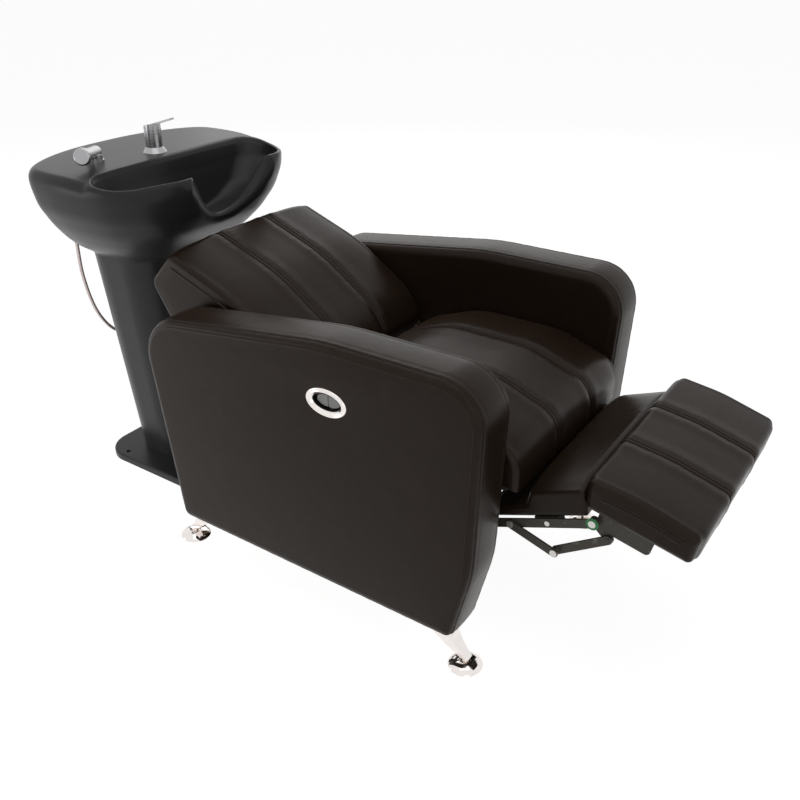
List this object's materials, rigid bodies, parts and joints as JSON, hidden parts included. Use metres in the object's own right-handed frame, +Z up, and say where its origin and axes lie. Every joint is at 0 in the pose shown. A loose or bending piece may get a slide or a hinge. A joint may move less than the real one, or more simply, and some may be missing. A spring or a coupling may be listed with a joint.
{
  "type": "hair washing bed",
  "caption": "Salon backwash unit: padded armchair with reclining back and fold-out footrest, joined to a pedestal shampoo basin with mixer tap and hand sprayer.",
  "frame": {"origin": "middle of the footprint on the floor", "axes": "+X to the sitter's left, -Y towards the footrest, +Y towards the basin, +Z up"},
  "size_m": [0.705, 1.6676, 0.9125],
  "materials": {
    "upholstery": "black leatherette, soft sheen",
    "timber": "bare plywood",
    "lining": "plywood under black lining cloth",
    "linkage_steel": "dark grey steel",
    "rivet_steel": "zinc plated",
    "nylon": "green nylon",
    "chrome": "polished",
    "black_moulding": "moulded black",
    "paddle_moulding": "pale grey",
    "basin_glaze": "black glaze",
    "pedestal_gloss": "black semi-gloss",
    "hose_skin": "pale silver hose",
    "inner_hose": "braided grey hose",
    "drain_metal": "bright steel",
    "waste_plastic": "white drain pipe"
  },
  "bodies": {
    "root": {"right_arm_core": "timber", "right_arm_band": "upholstery", "right_arm_outer_panel": "upholstery", "right_arm_inner_panel": "upholstery", "left_arm_core": "timber", "left_arm_band": "upholstery", "left_arm_outer_panel": "upholstery", "left_arm_inner_panel": "upholstery", "seat_cushion": "upholstery", "seat_board": "lining", "right_side_rail": "linkage_steel", "left_side_rail": "linkage_steel", "front_cross_tube": "linkage_steel", "rear_stretcher": "timber", "pivot_bolts": "rivet_steel", "handle_bezel": "chrome", "handle_cup": "black_moulding", "handle_pin": "rivet_steel", "release_cable": "inner_hose", "right_front_leg": "chrome", "left_front_leg": "chrome", "right_rear_leg": "chrome", "left_rear_leg": "chrome", "glide_feet": "chrome", "leg_bolts": "rivet_steel", "base_plate": "pedestal_gloss", "column_shell": "pedestal_gloss", "access_cover": "black_moulding", "connecting_straps": "linkage_steel", "basin": "basin_glaze", "drain_fitting": "drain_metal", "waste_pipe": "waste_plastic", "tap_body": "chrome", "spray_holder": "chrome", "spray_hose": "hose_skin", "hose_glands": "drain_metal", "inner_hoses": "inner_hose"},
    "crank": {"crank_yoke": "linkage_steel"},
    "long_bars": {"right_long_bar": "linkage_steel", "left_long_bar": "linkage_steel", "bar_rivets": "rivet_steel", "nylon_washers": "nylon", "bridge_pad": "upholstery", "bridge_board": "lining"},
    "footrest": {"footrest_pad": "upholstery", "footrest_board": "lining", "footrest_brackets": "linkage_steel"},
    "short_links": {"right_short_link": "linkage_steel", "left_short_link": "linkage_steel", "knee_rivets": "rivet_steel"},
    "scissor_links": {"right_scissor_link": "linkage_steel", "left_scissor_link": "linkage_steel"},
    "back": {"back_cushion": "upholstery", "back_board": "lining", "back_brackets": "linkage_steel"},
    "paddle": {"handle_paddle": "paddle_moulding"},
    "tap_cap": {"tap_cap": "chrome"},
    "tap_lever": {"tap_lever": "chrome"},
    "sprayer": {"hand_sprayer": "chrome"},
    "strainer": {"strainer": "drain_metal"}
  },
  "joints": [
    {"name": "footrest_fold", "type": "hinge", "parent": "root", "child": "crank", "pos_m": [0, -0.294, 0.266], "axis": [1, 0, 0], "range_deg": [0, 110]},
    {"name": "long_bar_turn", "type": "hinge", "parent": "crank", "child": "long_bars", "pos_m": [0, -0.42, 0.304], "axis": [1, 0, 0], "range_deg": [-150, 0]},
    {"name": "footrest_turn", "type": "hinge", "parent": "long_bars", "child": "footrest", "pos_m": [0, -0.647, 0.396], "axis": [1, 0, 0], "range_deg": [0, 118]},
    {"name": "short_link_turn", "type": "hinge", "parent": "long_bars", "child": "short_links", "pos_m": [0, -0.492, 0.333], "axis": [1, 0, 0], "range_deg": [0, 22]},
    {"name": "scissor_link_turn", "type": "hinge", "parent": "short_links", "child": "scissor_links", "pos_m": [0, -0.583, 0.306], "axis": [1, 0, 0], "range_deg": [-56, 0]},
    {"name": "back_recline", "type": "hinge", "parent": "root", "child": "back", "pos_m": [0, 0.025, 0.44], "axis": [1, 0, 0], "range_deg": [0, 30]},
    {"name": "handle_rock", "type": "hinge", "parent": "root", "child": "paddle", "pos_m": [-0.337, -0.164, 0.545], "axis": [0, 0, 1], "range_deg": [0, 12], "stiffness_Nm_per_rad": 0.5},
    {"name": "tap_turn", "type": "hinge", "parent": "root", "child": "tap_cap", "pos_m": [0, 0.62, 0.8745], "axis": [0, 0, 1], "range_deg": [-50, 50]},
    {"name": "tap_lift", "type": "hinge", "parent": "tap_cap", "child": "tap_lever", "pos_m": [0, 0.632, 0.8825], "axis": [-1, 0, 0], "range_deg": [0, 22]},
    {"name": "sprayer_lift_out", "type": "slide", "parent": "root", "child": "sprayer", "axis": [0, 0, 1], "range_m": [0, 0.06]},
    {"name": "strainer_lift_out", "type": "slide", "parent": "root", "child": "strainer", "axis": [0, 0, 1], "range_m": [0, 0.03]}
  ],
  "couplings": [
    {"joint": "long_bar_turn", "follows": "footrest_fold", "ratio": -1.3445},
    {"joint": "footrest_turn", "follows": "footrest_fold", "ratio": 1.0518},
    {"joint": "short_link_turn", "follows": "footrest_fold", "ratio": 0.17752},
    {"joint": "scissor_link_turn", "follows": "footrest_fold", "ratio": -0.48919}
  ]
}
